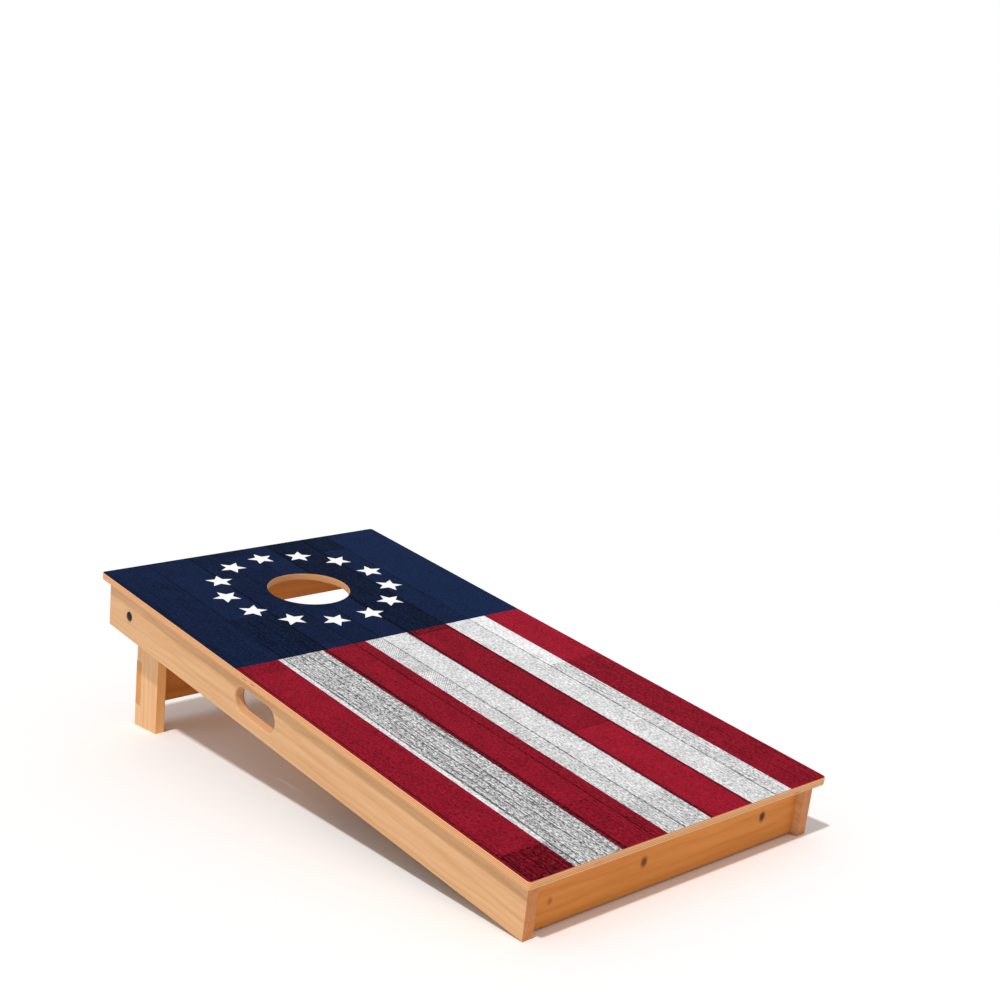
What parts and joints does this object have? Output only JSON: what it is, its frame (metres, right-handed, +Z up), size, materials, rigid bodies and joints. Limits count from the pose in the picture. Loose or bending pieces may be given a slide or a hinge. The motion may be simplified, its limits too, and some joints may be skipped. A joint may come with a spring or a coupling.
{
  "type": "cornhole board",
  "caption": "Sloping bag-toss target board with a round hole, printed deck, timber frame, side hand slots and folding back legs.",
  "frame": {"origin": "on the ground, at the centre of the bottom of the board's box as it stands with its legs out", "axes": "+Z up, +Y along the board from its low front edge to its raised back edge, +X to the right of a thrower who faces the board"},
  "size_m": [0.6096, 1.2062, 0.3049],
  "materials": {
    "plywood": "raw birch plywood with bare sawn edges",
    "printed_film": "matt printed vinyl film: blue field with white stars, red and white stripes, weathered plank pattern",
    "pine": "planed pine, clear unvarnished",
    "dark_steel": "dark plated steel",
    "zinc_steel": "bright zinc plate",
    "yellow_zinc_steel": "yellow zinc plate"
  },
  "bodies": {
    "frame": {"deck_panel": "plywood", "deck_wrap": "printed_film", "left_side_rail": "pine", "right_side_rail": "pine", "front_apron": "pine", "back_apron": "pine", "center_brace": "pine", "left_pivot_block": "pine", "right_pivot_block": "pine", "left_pivot_bolt": "dark_steel", "right_pivot_bolt": "dark_steel", "left_block_washer": "zinc_steel", "right_block_washer": "zinc_steel", "left_nut_washer": "zinc_steel", "right_nut_washer": "zinc_steel", "deck_screws": "yellow_zinc_steel", "apron_screws": "yellow_zinc_steel", "brace_screws": "yellow_zinc_steel", "block_screws": "yellow_zinc_steel"},
    "leg_frame": {"left_leg": "pine", "right_leg": "pine", "leg_crossbar": "pine", "crossbar_screws": "yellow_zinc_steel"},
    "left_nut": {"left_wing_nut": "zinc_steel"},
    "right_nut": {"right_wing_nut": "zinc_steel"}
  },
  "joints": [
    {"name": "leg_fold", "type": "hinge", "parent": "frame", "child": "leg_frame", "pos_m": [0, 0.52049, 0.2334], "axis": [-1, 0, 0], "range_deg": [0, 90]},
    {"name": "left_nut_spin", "type": "hinge", "parent": "frame", "child": "left_nut", "pos_m": [-0.23085, 0.52049, 0.2334], "axis": [1, 0, 0], "continuous": true},
    {"name": "right_nut_spin", "type": "hinge", "parent": "frame", "child": "right_nut", "pos_m": [0.23085, 0.52049, 0.2334], "axis": [-1, 0, 0], "continuous": true}
  ]
}
